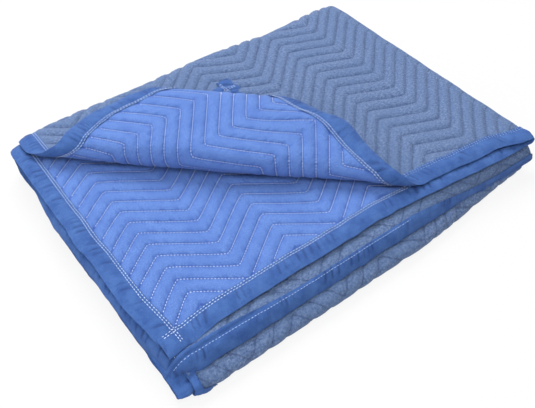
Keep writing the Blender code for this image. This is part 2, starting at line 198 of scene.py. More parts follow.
def corner_curve(profile):
    """Bent cloth seen from its side: back and height at each small step."""
    headings = [180.0]
    turned = []
    for length, end in profile:
        count = round(length / CURVE_STEP)
        start = headings[-1]
        turned += [start + (end - start) * (i + 0.5) / count for i in range(count)]
        headings.append(end)
    angle = np.radians(turned)
    return [np.concatenate(([0.0], np.cumsum(part) * CURVE_STEP)) for part in (np.cos(angle), np.sin(angle))]


SWELL_CURVE, PINCH_CURVE = corner_curve(SWELL_PROFILE), corner_curve(PINCH_PROFILE)
HEM_DROOP = corner_curve(((0.014, 222.0), (0.030, 226.0)))
CORNER_DROOP = corner_curve(((0.020, 224.0), (0.040, 224.0)))
LEFT_DROOP = corner_curve(((0.016, 215.0), (0.020, 215.0)))


def on_curve(curve, distance):
    places = np.arange(len(curve[0])) * CURVE_STEP
    return [np.interp(distance, places, part) for part in curve]


def behind_roll(x, y):
    """Distance of a flat point behind the line where the corner starts to turn up."""
    return (x - CREASE_POINT[0]) * BEHIND[0] + (y - CREASE_POINT[1]) * BEHIND[1] - ROLL_START


def turn_back(x, y, z):
    """Carry points of the top layer onto the turned-back corner."""
    beyond = np.maximum(-behind_roll(x, y), 0)
    reach = (x - CREASE_POINT[0]) * CREASE[0] + (y - CREASE_POINT[1]) * CREASE[1]
    before, between, after = SWELL_SHARES
    share = blend((before, between), smooth(*SWELL_GROWS, reach))
    share = share * blend((between, after), smooth(*SWELL_FADES, reach))
    high, low = on_curve(SWELL_CURVE, beyond), on_curve(PINCH_CURVE, beyond)
    back, height = [blend(pair, share) for pair in zip(low, high)]
    left_hem = fade(*LEFT_HEM_REACH, x) * smooth(*PUSH_START, beyond)
    drift = CORNER_DRIFT * smooth(*DRIFT_REACH, beyond) + left_hem * humps(beyond, LEFT_HEM_PUSHES)
    front_hem = fade(*FRONT_HEM_REACH, y) * fade(*FRONT_PUSH_RIGHT, x)
    puff = front_hem * humps(beyond, FRONT_HEM_PUSH)
    move = np.where(beyond > 0, beyond + back, 0) + puff
    return (x + BEHIND[0] * move + CREASE[0] * drift, y + BEHIND[1] * move + CREASE[1] * drift,
            z + height + puff)


def droop(x, y, z, along, lower, last, offset):
    """Sag of the lower layers: the front fold flattens, the last hems hang over it."""
    low_leg = 1 - smooth(-DOUBLED_RADIUS, DOUBLED_RADIUS, offset)
    from_end = LENGTH - along
    under = lower * (1 - last)
    z = z * (1 - FOLD_FLAT * under * fade(*FOLD_FRONT, y))
    beside = smooth(*TUCK_FRONT, y) * fade(*TUCK_BACK, y)
    x = x + LEFT_TUCK * under * fade(*TUCK_LEFT, x) * beside

    # the last hem's left corner is rounded, and the back corner is tucked in
    near_side = np.maximum(CORNER_ROUND - np.abs(x - CORNER_LEFT), 0)
    corner = ROUND_SHARE * near_side * np.maximum(CORNER_ROUND - from_end, 0) / CORNER_ROUND
    x, y = x + corner, y + corner
    tucked = smooth(*TUCK_FROM_Y, y) * fade(*TUCK_TO_X, x) * fade(*TUCK_TO_Z, z)
    x = x + BACK_CORNER_TUCK * tucked

    # the last front hem, the left hem and the corner between them hang down
    past = np.maximum(HEM_DROOP_FROM - from_end, 0)
    back, down = on_curve(HEM_DROOP, past)
    y, z = y + past + back, z + down
    past = np.maximum(LEFT_DROOP_FROM - x, 0)
    back, down = on_curve(LEFT_DROOP, past)
    held = last * low_leg * fade(*LEFT_DROOP_BACK, y)
    spread = LEFT_SPREAD * fade(*SPREAD_LEFT, x)
    x, z = x + (past + back - spread) * held, z + down * held
    past = np.maximum(CORNER_DROOP_FROM - x, 0)
    back, down = on_curve(CORNER_DROOP, past)
    held = last * fade(*CORNER_DROOP_REACH, from_end)
    x, z = x + (past + back) * held, z + down * held

    # the second layer's corner is pulled, the left hems wander, and nothing goes under the floor
    pull = (1 - lower) * low_leg * fade(0.0, PULL_REACH, x - SECOND_LEFT)
    pull = pull * fade(0.0, PULL_REACH, along)
    x, y, z = x + CORNER_PULL[0] * pull, y + CORNER_PULL[1] * pull, z + CORNER_PULL[2] * pull
    wander = WANDER * noise(along, offset * WANDER_BY_LAYER, WANDER_CELL, seed=51)
    x = x + wander * fade(*WANDER_LEFT, x)
    return x, y, LOWEST_MIDDLE + np.logaddexp(0, (z - LOWEST_MIDDLE) / FLOOR_EASE) * FLOOR_EASE


def laid(across, along):
    """Place of the cloth before its corner is turned back: x, y, z."""
    x, offset = doubled(across, along)
    y, z, side, up = fold_path(along)
    y = y + offset * side
    z = z + offset * up
    lower = smooth(STARTS[1], STARTS[2], along)
    last = smooth(STARTS[5], STARTS[6], along)
    low_front = lower * fade(FRONT_TURN, RECESS_BACK, y)
    x = x - blend(LOW_RECESS, last) * low_front * smooth(*RECESS_RIGHT, x)
    y = y + blend(LOW_FRONT_RECESS, last) * low_front * smooth(*FRONT_RECESS_RIGHT, x)
    y = y - FRONT_SLANT * smooth(*SLANT_RIGHT, x) * fade(SLANT_START, STARTS[1], along)
    top_leg = smooth(-DOUBLED_RADIUS, DOUBLED_RADIUS, offset)
    set_back = TOP_SET_BACK * np.maximum(1 - along / STARTS[1], 0)
    y = y + set_back * top_leg * fade(*SET_BACK_END, x)
    wave = WAVE_HEIGHT * np.sin(x * WAVE_RATE + WAVE_START) + humps(x, BACK_BULGES)
    y = y + wave * smooth(0.0, BACK_TURN, y)
    dip = FRONT_DIP * smooth(*DIP_RIGHT, x) * fade(*DIP_FRONT, y)
    z = FLOOR_LAYER + (z - FLOOR_LAYER) * (1 - dip)
    z = z + HEM_LIFT * fade(*LIFT_LEFT, x) * (1 - z / level(8))
    return droop(x, y, z, along, lower, last, offset)


def place(across, along):
    """Middle of the cloth in the pack, as rows of x, y, z."""
    across, along = np.broadcast_arrays(np.asarray(across, float), np.asarray(along, float))
    flat = laid(across, along)
    turned = (along < STARTS[1]) & (across <= TOP_ACROSS)
    points = np.stack([np.where(turned, a, b) for a, b in zip(turn_back(*flat), flat)], -1)
    return points - PACK_CENTRE


def unit(vectors):
    return vectors / np.maximum(np.linalg.norm(vectors, axis=-1, keepdims=True), 1e-12)


def facing(across, along, step=0.0004):
    """Unit vectors out of the heather side of the cloth."""
    run_across = place(across + step, along) - place(across - step, along)
    run_along = place(across, along + step) - place(across, along - step)
    return unit(np.cross(run_across, run_along))


def noise(u, v, cell, seed=0):
    """Smooth random values from -1 to 1 over a plane, the same in every run."""
    u, v = np.broadcast_arrays(np.asarray(u, float) / cell, np.asarray(v, float) / cell)
    iu, iv = np.floor(u).astype(np.int64), np.floor(v).astype(np.int64)
    fu, fv = u - iu, v - iv
    fu, fv = fu * fu * (3 - 2 * fu), fv * fv * (3 - 2 * fv)

    def corner(a, b):
        mixed = (a * 374761393 + b * 668265263 + seed * 974634777) & 0x7FFFFFFF
        mixed = ((mixed ^ (mixed >> 13)) * 1274126177) & 0x7FFFFFFF
        return (mixed ^ (mixed >> 16)) % 65536 / 32767.5 - 1

    low = corner(iu, iv) * (1 - fu) + corner(iu + 1, iv) * fu
    high = corner(iu, iv + 1) * (1 - fu) + corner(iu + 1, iv + 1) * fu
    return low * (1 - fv) + high * fv


# ---- the quilting
def zigzag(x, peak, run, rise):
    """Zigzag line with slightly rounded corners: 0 at its peaks, -rise at its lowest."""
    share = np.abs(((x - peak) / run + 1) % 2 - 1)
    soft = CORNER_SOFTNESS
    upper = np.sqrt(share ** 2 + soft ** 2) - soft
    lower = np.sqrt((1 - share) ** 2 + soft ** 2) - soft
    return -rise * (0.5 + 0.5 * (upper - lower) / (math.sqrt(1 + soft ** 2) - soft))


def quilt_line(across):
    """Where line 0 crosses, as a laid y, and the distance to the next line."""
    top_x = TOP_LEFT + across
    second_x = SECOND_LEFT + WIDTH - across
    drift = TOP_DRIFT * (np.logaddexp(0, (top_x - DRIFT_FROM) / DRIFT_EASE) * DRIFT_EASE - DRIFT_ZERO)
    rise = blend(TOP_RISE, smooth(*RISE_CHANGES, top_x))
    top = TOP_LINE + zigzag(top_x, TOP_PEAK, TOP_RUN, rise) + drift
    second = SECOND_LINE + zigzag(second_x, SECOND_PEAK, SECOND_RUN, SECOND_RISE)
    share = smooth(TOP_ACROSS, SECOND + LINES_MEET, across)
    return blend((top, second), share), blend((TOP_PITCH, SECOND_PITCH), share)


def slip(across, along):
    """How far the laid cloth runs ahead of a plain straight length."""
    held = np.clip(along, 0.0, STARTS[1] - 0.002)
    return laid(across, held)[1] - TOP_FRONT - held


def quilt_number(across, along):
    """Which quilting line a point lies on, with whole numbers on the lines themselves."""
    start, pitch = quilt_line(across)
    return (TOP_FRONT + along + slip(across, along) - start) / pitch


def on_line(across, number):
    """How far along the blanket a quilting line crosses."""
    start, pitch = quilt_line(across)
    along = start + pitch * number - TOP_FRONT
    for _ in range(5):
        along = start + pitch * number - TOP_FRONT - slip(across, along)
    return along


def loft(across, along, groove, crest):
    """Half thickness of the cloth: pinched on each line, full between two lines."""
    share = np.abs(quilt_number(across, along) % 1 - 0.5) * 2
    full = blend((crest, groove), share ** PUFF_SHAPE)
    from_hairpin = np.abs(across - TOP_ACROSS - HALF_TURN / 2) - HALF_TURN / 2
    full = blend((HAIRPIN_HALF, full), smooth(*HAIRPIN_EASE, from_hairpin))
    edge = np.minimum(np.minimum(across, WIDTH - across), np.minimum(along, LENGTH - along))
    thin = blend((EDGE_HALF, HEMMED), smooth(*EDGE_EASE, edge))
    return blend((thin, full), smooth(TAPE - 0.004, TAPE + 0.006, edge))


def ripple(across, along):
    """The gentle unevenness of cloth that has been folded by hand."""
    uneven = sum(height * noise(across, along, cell, seed) for height, cell, seed in RIPPLES)
    on_floor = smooth(STARTS[1] + 0.04, STARTS[2], along) * fade(STARTS[3], STARTS[4], along)
    before = smooth(STARTS[3] - 0.05, STARTS[3] - 0.01, along)
    at_fold = before * fade(STARTS[4], STARTS[4] + 0.03, along)
    from_side = np.minimum(across, WIDTH - across)
    pleated = at_fold * fade(*PLEAT_REACH, from_side)
    pleats = PLEAT_DEPTH * noise(from_side * PLEAT_STRETCH, along, PLEAT_CELL, seed=61)
    return uneven * (1 - on_floor) + pleats * pleated


def skin(across, along, heather):
    """A point on the outside of one of the two covers."""
    if heather:
        groove, crest = OUTSIDE_HALVES
        crest = crest - LOW_PUFF_LOSS * smooth(STARTS[1] + 0.05, STARTS[2], along)
        height = loft(across, along, groove, crest)
    else:
        height = -loft(across, along, *INSIDE_HALVES)
    lift = height + ripple(across, along)
    return place(across, along) + facing(across, along) * lift[..., None]


# ---- meshes
LEG_COLUMNS, HAIRPIN_COLUMNS, TAPE_MIDDLE = 16, 8, 0.014
PUFF_ROWS = (0.0, 0.075, 0.27, 0.5, 0.73, 0.925)  # places of the rows between two lines
STRAIGHTEN_ROWS = 12


def put(name, data):
    """A new object in the scene."""
    made = bpy.data.objects.new(name, data)
    scene.collection.objects.link(made)
    return made


def make_piece(name, points, faces, materials, face_slots=None, threads=None):
    """A smooth-shaded mesh object; threads gives each point's place on its cloth."""
    data = bpy.data.meshes.new(name)
    data.from_pydata(points.tolist(), [], faces)
    for finish in materials:
        data.materials.append(finish)
    if face_slots is not None:
        data.polygons.foreach_set("material_index", face_slots)
    data.polygons.foreach_set("use_smooth", np.ones(len(data.polygons), bool))
    if threads is not None:
        layer = data.attributes.new("cloth", "FLOAT_VECTOR", "POINT")
        layer.data.foreach_set("vector", np.asarray(threads, np.float32).ravel())
    data.update()
    return put(name, data)


def columns():
    """Mesh columns as (across, level): level 2 is in every row, 1 in medium and fine rows."""
    found = {0.0: 2, TAPE_MIDDLE: 2, TAPE: 2, WIDTH: 2, WIDTH - TAPE_MIDDLE: 2, WIDTH - TAPE: 2}
    for peak, run, to_across, low, high in (
        (TOP_PEAK, TOP_RUN, lambda x: x - TOP_LEFT, TAPE, TOP_ACROSS - 0.003),
        (SECOND_PEAK, SECOND_RUN, lambda x: SECOND_LEFT + WIDTH - x, SECOND + 0.003, WIDTH - TAPE),
    ):
        for step in range(-8 * LEG_COLUMNS, 9 * LEG_COLUMNS):
            across = to_across(peak + step * run / LEG_COLUMNS)
            if low + 0.002 < across < high - 0.002:
                found[across] = 2 if step % LEG_COLUMNS == 0 else 1 if step % 4 == 0 else 0
    for turn in np.linspace(0, 1, HAIRPIN_COLUMNS):
        found[TOP_ACROSS + HALF_TURN * turn] = 2
    return sorted(found.items())


def quilted_rows():
    """Rows that follow the zigzag, as quilting numbers."""
    return [line + share for line in TOP_LINES for share in PUFF_ROWS]


def straight_rows():
    """Rows of the lower lengths, as (along, the least level of the columns that they take)."""
    found = []

    def stretch(start, end, step, row_level):
        count = max(round((end - start) / step), 1)
        found.extend((start + (end - start) * i / count, row_level) for i in range(count))

    stretch(STRAIGHT_FROM, STARTS[3] - 0.012, 0.024, 2)
    stretch(STARTS[3] - 0.012, STARTS[4] + 0.008, 0.0022, 0)
    stretch(STARTS[4] + 0.008, STARTS[5], 0.03, 2)
    stretch(STARTS[5], STARTS[6], 0.0035, 1)
    stretch(STARTS[6], LENGTH - 0.085, 0.03, 2)
    stretch(LENGTH - 0.085, LENGTH, 0.0045, 0)
    found.append((LENGTH, 0))
    return found


def cloth_grid():
    """All mesh rows: for each, the across and along of its points, from left to right."""
    places = columns()
    across_all = np.array([across for across, _ in places])
    levels = np.array([row_level for _, row_level in places])
    grid = [(across_all, np.zeros(len(across_all)))]
    for number in quilted_rows():
        along = np.maximum(on_line(across_all, number), 0)
        if along.max() > 0:
            grid.append((across_all, along))
        if along.min() > STARTS[1] + 0.045:
            break
    used = levels >= 1
    for step in range(1, STRAIGHTEN_ROWS):
        grid.append((across_all[used], blend((along, STRAIGHT_FROM), step / STRAIGHTEN_ROWS)[used]))
    for along, row_level in straight_rows():
        used = levels >= row_level
        grid.append((across_all[used], np.full(used.sum(), along)))
    return grid


def cloth_mesh():
    """Points and faces of the blanket laid flat, each face as indices of its points."""
    index, flat = {}, []

    def point(across, along):
        key = (round(across, 6), round(along, 5))
        if key not in index:
            index[key] = len(flat)
            flat.append((across, along))
        return index[key]

    faces = []
    grid = cloth_grid()
    numbered = [[point(a, b) for a, b in zip(*row)] for row in grid]
    for (low_across, _), low, (high_across, _), high in zip(grid, numbered, grid[1:], numbered[1:]):
        low_at, high_at = [{value: i for i, value in enumerate(np.round(row, 6))}
                           for row in (low_across, high_across)]
        shared = sorted(low_at.keys() & high_at.keys())
        for left, right in zip(shared, shared[1:]):
            below = low[low_at[left]:low_at[right] + 1]
            above = high[high_at[left]:high_at[right] + 1]
            if len(below) == len(above) == 2:
                corners = list(dict.fromkeys(below + above[::-1]))
                if len(corners) > 2:
                    faces.append(corners)
                continue
            upward = len(below) >= len(above)
            many, few = (below, above) if upward else (above, below)
            middle = len(many) // 2
            fans = [(a, b, few[0 if i < middle else -1]) for i, (a, b) in enumerate(zip(many, many[1:]))]
            fans.append((many[middle], few[-1], few[0]))
            faces += [fan if upward else fan[::-1] for fan in fans if len(set(fan)) == 3]
    return np.array(flat), faces


def rim_edges(faces):
    """Edges that belong to one face only, in that face's direction."""
    single = {}
    for face in faces:
        for edge in zip(face, face[1:] + face[:1]):
            if not single.pop(edge[::-1], False):
                single[edge] = True
    return list(single)


def build_cloth(heather, periwinkle):
    flat, faces = cloth_mesh()
    across, along = flat.T
    outside, inside = skin(across, along, True), skin(across, along, False)
    outside[:, 2] = np.maximum(outside[:, 2], 0.0)
    count = len(flat)
    backs = [[corner + count for corner in reversed(face)] for face in faces]
    rim = [[end, start, start + count, end + count] for start, end in rim_edges(faces)]
    slots = [0] * len(faces) + [1] * len(backs) + [0] * len(rim)
    threads = np.stack((across, along, quilt_number(across, along)), -1)
    return make_piece("quilted_blanket", np.concatenate((outside, inside)), faces + backs + rim,
                      (heather, periwinkle), slots, np.concatenate((threads, threads)))


# ---- bindings
# Depths from the hem of the rows across one side of a tape, and turns of the rows round its edge
SECTION = (TAPE, 0.0268, 0.0259, 0.0248, 0.0238, 0.0226, 0.0216, 0.0206, 0.0190, 0.0165, 0.0135,
           0.0105, 0.0075, 0.0050, 0.0030, 0.0012)
ROUND = (60, 30, 0, -30, -60)
SIDE_ROWS = (0.0225, 0.0260)
STITCH_ROWS = {"front": SIDE_ROWS, "upper": SIDE_ROWS, "lower": SIDE_ROWS, "low": (0.0196,)}
SEEDS = {"front": 0, "low": 1, "upper": 2, "lower": 3}

# How far the tapes stand off the middle of the cloth, their curve at the hem, and their relief
TAPE_SKIN, TAPE_THICKNESS, THINNEST = 0.0034, 0.0008, 0.0002
LEAST_SKIN = (0.0004, 0.0025)  # at the hem and away from it
HEM_CURVE, CURVE_DEPTH = 0.0030, 0.012
PUFF, PUCKER, CROSS_WAVE = 0.0010, 0.0009, 0.0006
PINCH, PINCH_WIDTH = 0.0005, 0.0008
SIDE_CREASE, FRONT_CREASE = 0.0016, 0.0013
RIM_REACH, RIM_INSET, INNER_LIFT = 0.0026, 0.002, 0.0006
OVERLAP, OVERLAP_ENDS = 0.0021, (0.029, 0.036)  # the front tapes lie over the side ones
SEAM_STEP, SEAM_STEP_DEPTH = 0.0012, (0.0225, 0.0245)
SEAM_GROOVE, SEAM_PLACE, SEAM_WIDTH = 0.0022, 0.0218, 0.0011
SEAM_RIGHT = (-0.10, 0.12)  # x over which the low tape's seam fades

# How far the tapes' outer sides are drawn in
LOW_DRAWN_IN = ((0.0080, -0.27, -0.10), (0.0150, 0.08, 0.27))  # by how much, between two x
SIDE_DRAWN_IN = {"upper": 0.0195, "lower": 0.0205}
DRAWN_FROM = (0.42, 0.62)  # shares of the front turn
NARROW_STEP = 0.02

GATHER_PERIOD, GATHER_SLANT, GATHER_WANDER, GATHER_WIDTH = 0.0105, 0.3, 0.9, 0.17

# From a run along a hem and a depth from it to across and along
TO_FLAT = {
    "front": lambda run, depth: (run, depth),
    "low": lambda run, depth: (run, LENGTH - depth),
    "upper": lambda run, depth: (depth, run),
    "lower": lambda run, depth: (WIDTH - depth, run),
}


def low_x(run):
    """About where a place on the low front hem's second layer lies, as x."""
    return SECOND_LEFT + WIDTH - run


def gathers(run, depth, seed):
    """Narrow crosswise creases, 1 at their deepest."""
    phase = (run + GATHER_SLANT * depth) / GATHER_PERIOD + GATHER_WANDER * noise(run, 0, 0.028, seed)
    crease = hump(phase % 1, 0.5, GATHER_WIDTH + 0.05 * noise(run, 0, 0.02, seed + 1))
    return crease * smooth(-0.55, 0.55, noise(run, 0, 0.013, seed + 2))


def tape_crease(hem, run, depth, side):
    crease = gathers(run, depth, 30 + SEEDS[hem] + 2 * side)
    return crease * smooth(0.001, 0.009, depth) * fade(0.019, 0.024, depth)


def tape_height(hem, run, depth, side):
    """Distance of the tape's outer skin from the middle of the cloth."""
    seed = 11 + SEEDS[hem]
    to_hem = 1 - np.minimum(depth, CURVE_DEPTH) / CURVE_DEPTH
    curve = HEM_CURVE * (np.sqrt(np.clip(1 - to_hem ** 2, 0, 1)) - 1)
    puff = PUFF * smooth(0.004, 0.011, depth) * fade(0.015, 0.022, depth)
    pinch = PINCH * sum(hump(depth, row, PINCH_WIDTH) for row in STITCH_ROWS[hem])
    pucker = PUCKER * noise(run + 0.5 * depth, depth * 0.35 + side * 0.3, 0.0060, seed)
    pucker = pucker * smooth(0.002, 0.008, depth) * blend((0.35, 1.0), smooth(0.010, 0.020, depth))
    cross = CROSS_WAVE * noise(run, side * 0.3, 0.024, seed + 5)
    crease = SIDE_CREASE if hem in SIDE_DRAWN_IN else FRONT_CREASE
    height = TAPE_SKIN + curve + puff - pinch + pucker + cross - crease * tape_crease(hem, run, depth, side)
    if hem not in SIDE_DRAWN_IN:
        height = height + OVERLAP * fade(*OVERLAP_ENDS, np.minimum(run, WIDTH - run))
    if hem == "low":
        seam = SEAM_STEP * smooth(*SEAM_STEP_DEPTH, depth) - SEAM_GROOVE * hump(depth, SEAM_PLACE, SEAM_WIDTH)
        height = height + seam * fade(*SEAM_RIGHT, low_x(run))
    return np.maximum(height, blend(LEAST_SKIN, smooth(0.0, 0.004, depth)))


def tape_reach(hem, run, side):
    """How far the tape's inner edge lies from the hem."""
    reach = np.full_like(run, TAPE)
    if hem == "low" and side > 0:
        for narrower, start, end in LOW_DRAWN_IN:
            reach = reach - narrower * smooth(start, end, low_x(run))
    if hem in SIDE_DRAWN_IN and side > 0:
        turned = (run - STARTS[3]) / (STARTS[4] - STARTS[3])
        drawn = smooth(*DRAWN_FROM, turned) * fade(STARTS[4], STARTS[4] + 0.05, run)
        reach = reach - SIDE_DRAWN_IN[hem] * drawn
    return reach


def tape_ring(hem, run, thickness):
    """The section of a tape's skin at each place of its run, this much inside its outer skin."""
    to_flat = TO_FLAT[hem]

    def above_floor(points):
        points[:, 2] = np.maximum(points[:, 2], 0.0 if thickness == 0 else INNER_LIFT)
        return points

    def side_rows(side):
        found = []
        reach = tape_reach(hem, run, side)
        for depth in SECTION:
            depth = np.minimum(depth, reach + (depth - TAPE) * NARROW_STEP)
            spot = to_flat(run, depth)
            height = np.maximum(tape_height(hem, run, depth, side) - thickness, THINNEST)
            lift = side * height + ripple(*spot)
            found.append(above_floor(place(*spot) + facing(*spot) * lift[:, None]))
        return found

    edge, inset = to_flat(run, np.zeros_like(run)), to_flat(run, np.full_like(run, RIM_INSET))
    out = unit(place(*edge) - place(*inset))
    normal = facing(*inset)
    base = place(*edge) + normal * ripple(*edge)[:, None]
    waver = 0.0009 * noise(run, 0, 0.021, 31) + 0.0004 * noise(run, 0, 0.007, 32)
    edge_height = np.maximum(tape_height(hem, run, 0.0, 1) - thickness, THINNEST)
    rim = []
    for degrees in ROUND:
        turn = math.radians(degrees)
        height, reach = edge_height * math.sin(turn), (RIM_REACH - thickness + waver) * math.cos(turn)
        rim.append(above_floor(base + normal * height[:, None] + out * reach[:, None]))
    return np.stack(side_rows(1) + rim + side_rows(-1)[::-1], 1)


def build_tape(name, hem, run, finish):
    """A tape with an outer and an inner skin, folded over a hem."""
    outer = tape_ring(hem, run, 0.0)
    inner = tape_ring(hem, run, TAPE_THICKNESS)[:, ::-1]
    ring = np.concatenate((outer, inner), 1)
    count, around = ring.shape[:2]
    faces = []
    for i in range(count - 1):
        for j in range(around):
            k = (j + 1) % around
            faces.append([i * around + j, i * around + k, (i + 1) * around + k, (i + 1) * around + j])
    half = around // 2
    for base, order in ((0, 1), ((count - 1) * around, -1)):
        for j in range(half - 1):
            quad = [base + j, base + j + 1, base + around - 2 - j, base + around - 1 - j]
            faces.append(quad[::order])
    depths = list(SECTION) + [0.0] * len(ROUND) + [-d for d in SECTION[::-1]]
    depths = depths + depths[::-1]
    threads = np.zeros((count, around, 3))
    threads[..., 0] = run[:, None]
    threads[..., 1] = depths
    # The third value is each place's crease depth, which the tape finish turns into painted shade
    for column, depth in enumerate(depths):
        side = 1 if depth > 0 else -1
        threads[:, column, 2] = tape_crease(hem, run, np.full_like(run, abs(depth)), side)
    return make_piece(name, ring.reshape(-1, 3), faces, (finish,), None, threads.reshape(-1, 3))


def stations(start, end, step, close=()):
    """Places from start to end, a step apart, with closer steps in some stretches."""
    found = [start]
    while found[-1] < end:
        here = found[-1]
        near = [fine for low, high, fine in close if low - step < here < high]
        found.append(here + min(near + [step]))
    found[-1] = end
    return np.array(found)


# ---- sewing
STITCH_PROFILE = ((0.0, 0.35), (0.28, 1.0), (0.72, 1.0), (1.0, 0.35))  # shares of length, of radius
STITCH_CORNERS, STITCH_TWIST = 5, 0.3
QUILT_STITCH, QUILT_GAP = 0.0024, 0.0021
TAPE_STITCH, TAPE_GAP, TAPE_THREAD = 0.0029, 0.0020, 0.00044
CLEAR, PATH_STEP = 0.002, 0.002  # from a tape to the first stitch, and between places of a line
LINE_SHIFT = 0.618  # keeps neighbouring lines from starting together
SHORTEST_STRETCH = 9  # places
ROW_SHIFT = 0.0011
LOW_ROW_SHIFT, LOW_ROW_LEFT, LOW_ROW_END = 0.0032, (-0.27, -0.10), (0.08, 0.11)
SUNK, LOW_SUNK, OVER_FRONT_TAPE = 0.004, 0.005, 0.0037  # hidden stitches lie under the tape's skin


def sew(name, starts, middles, ends, normals, radius, finish):
    """Short raised stitches joined in one mesh."""
    axis = unit(ends - starts)
    side = unit(np.cross(axis, normals))
    up = np.cross(side, axis)
    rings = []
    for share, size in STITCH_PROFILE:
        weight = (1 - share) * (1 - 2 * share), 4 * share * (1 - share), share * (2 * share - 1)
        centre = starts * weight[0] + middles * weight[1] + ends * weight[2]
        for corner in range(STITCH_CORNERS):
            turn = math.tau * corner / STITCH_CORNERS + STITCH_TWIST
            rings.append(centre + (side * math.cos(turn) + up * math.sin(turn)) * radius * size)
    points = np.stack(rings, 1)
    count, per = points.shape[:2]
    pattern = []
    for first in range(0, per - STITCH_CORNERS, STITCH_CORNERS):
        for corner in range(STITCH_CORNERS):
            a, b = first + corner, first + (corner + 1) % STITCH_CORNERS
            pattern.append([a, b, b + STITCH_CORNERS, a + STITCH_CORNERS])
    pattern.append(list(range(STITCH_CORNERS))[::-1])
    pattern.append(list(range(per - STITCH_CORNERS, per)))
    faces = [[base + corner for corner in face]
             for base in range(0, count * per, per) for face in pattern]
    return make_piece(name, points.reshape(-1, 3), faces, (finish,))


def walked(spots):
    """Distance walked from the first spot to each of them."""
    return np.concatenate(([0], np.cumsum(np.linalg.norm(np.diff(spots, axis=0), axis=1))))


def dashes(path, start):
    """Cuts a path, given as rows of across and along, into stitches: their starts, middles, ends."""
    run = walked(place(*path.T))
    begins = np.arange(start, run[-1] - QUILT_STITCH, QUILT_STITCH + QUILT_GAP)
    found = []
    for share in (0.0, 0.5, 1.0):
        at = begins + QUILT_STITCH * share
        found.append(np.stack([np.interp(at, run, column) for column in path.T], -1))
    return found


def quilting_stitches(chosen, across_range, numbers):
    """Stitches on the quilting lines where chosen(across, along) holds."""
    found = []
    across = np.arange(*across_range, PATH_STEP)
    for number in numbers:
        along = on_line(across, number)
        path = np.stack((across, along), -1)
        path = path[(along > TAPE + CLEAR) & (along < LENGTH - TAPE - CLEAR)]
        shift = (number * LINE_SHIFT % 1) * (QUILT_STITCH + QUILT_GAP)
        for stretch in np.split(path, np.flatnonzero(np.diff(path[:, 0]) > 1.5 * PATH_STEP) + 1):
            if len(stretch) < SHORTEST_STRETCH:
                continue
            stitches = dashes(stretch, shift)
            held = chosen(*stitches[1].T)
            found.append([spots[held] for spots in stitches])
    return [np.concatenate(spots) for spots in zip(*found)]


def raise_stitches(parts, heather_side, radius, name, finish, sink):
    """Sews the given places onto one side of the cloth."""
    sign = 1 if heather_side else -1
    spots = []
    for part, raised in zip(parts, (0.05, 0.75, 0.05)):
        normal = facing(*part.T) * sign
        spots.append(skin(*part.T, heather_side) + normal * (radius * raised - sink))
    return sew(name, *spots, facing(*parts[1].T) * sign, radius, finish)


def stitch_lift(hem, side, run):
    """How far a stitch stands above its tape: less than nothing where it is hidden."""
    if hem in SIDE_DRAWN_IN:
        hidden = smooth(STARTS[2] - 0.02, STARTS[2], run)
        hidden = hidden * fade(STARTS[4] + 0.08, STARTS[4] + 0.10, run)
        return OVER_FRONT_TAPE * fade(0.0265, 0.030, run) - SUNK * hidden
    if hem == "low" and side > 0:
        return -LOW_SUNK * smooth(*LOW_ROW_END, low_x(run))
    return np.zeros_like(run)


def tape_stitches(name, hem, sides, finish, radius=TAPE_THREAD):
    """The rows of stitches on each wanted side of a binding."""
    to_flat = TO_FLAT[hem]
    start, end = (0.006, LENGTH - 0.006) if hem in SIDE_DRAWN_IN else (0.004, WIDTH - 0.004)
    run = np.arange(start, end, 0.0015)
    parts = [[], [], [], []]
    for side in sides:
        for row_index, row in enumerate(STITCH_ROWS[hem]):
            reached = walked(place(*to_flat(run, np.full_like(run, row))))
            begins = np.arange(ROW_SHIFT * row_index, reached[-1] - TAPE_STITCH, TAPE_STITCH + TAPE_GAP)
            for index, (share, raised) in enumerate(((0.0, 0.1), (0.5, 0.8), (1.0, 0.1))):
                at = np.interp(begins + TAPE_STITCH * share, reached, run)
                depth = row + 0.00025 * noise(at, row, 0.012, 40 + row_index)
                if hem == "low" and side > 0:
                    depth = depth - LOW_ROW_SHIFT * smooth(*LOW_ROW_LEFT, low_x(at))
                spot = to_flat(at, depth)
                height = tape_height(hem, at, depth, side) + stitch_lift(hem, side, at)
                lift = side * (height + radius * raised) + ripple(*spot)
                normal = facing(*spot)
                parts[index].append(place(*spot) + normal * lift[:, None])
                if index == 1:
                    parts[3].append(normal * side)
    return sew(name, *[np.concatenate(part) for part in parts], radius, finish)


# ---- finishes
class Wire:
    """A value that varies over a surface; arithmetic on it adds Math nodes."""

    def __init__(self, finish, socket):
        self.finish, self.socket = finish, socket

    def _with(self, operation, first, second):
        return self.finish.node("ShaderNodeMath", {"operation": operation}, {0: first, 1: second})

    def __add__(self, other):
        return self._with("ADD", self, other)

    def __radd__(self, other):
        return self._with("ADD", other, self)

    def __sub__(self, other):
        return self._with("SUBTRACT", self, other)

    def __rsub__(self, other):
        return self._with("SUBTRACT", other, self)

    def __mul__(self, other):
        return self._with("MULTIPLY", self, other)

    def __rmul__(self, other):
        return self._with("MULTIPLY", other, self)

    def __mod__(self, other):
        return self._with("FLOORED_MODULO", self, other)


def set_inputs(shader, values):
    for socket, value in values.items():
        shader.inputs[socket].default_value = value


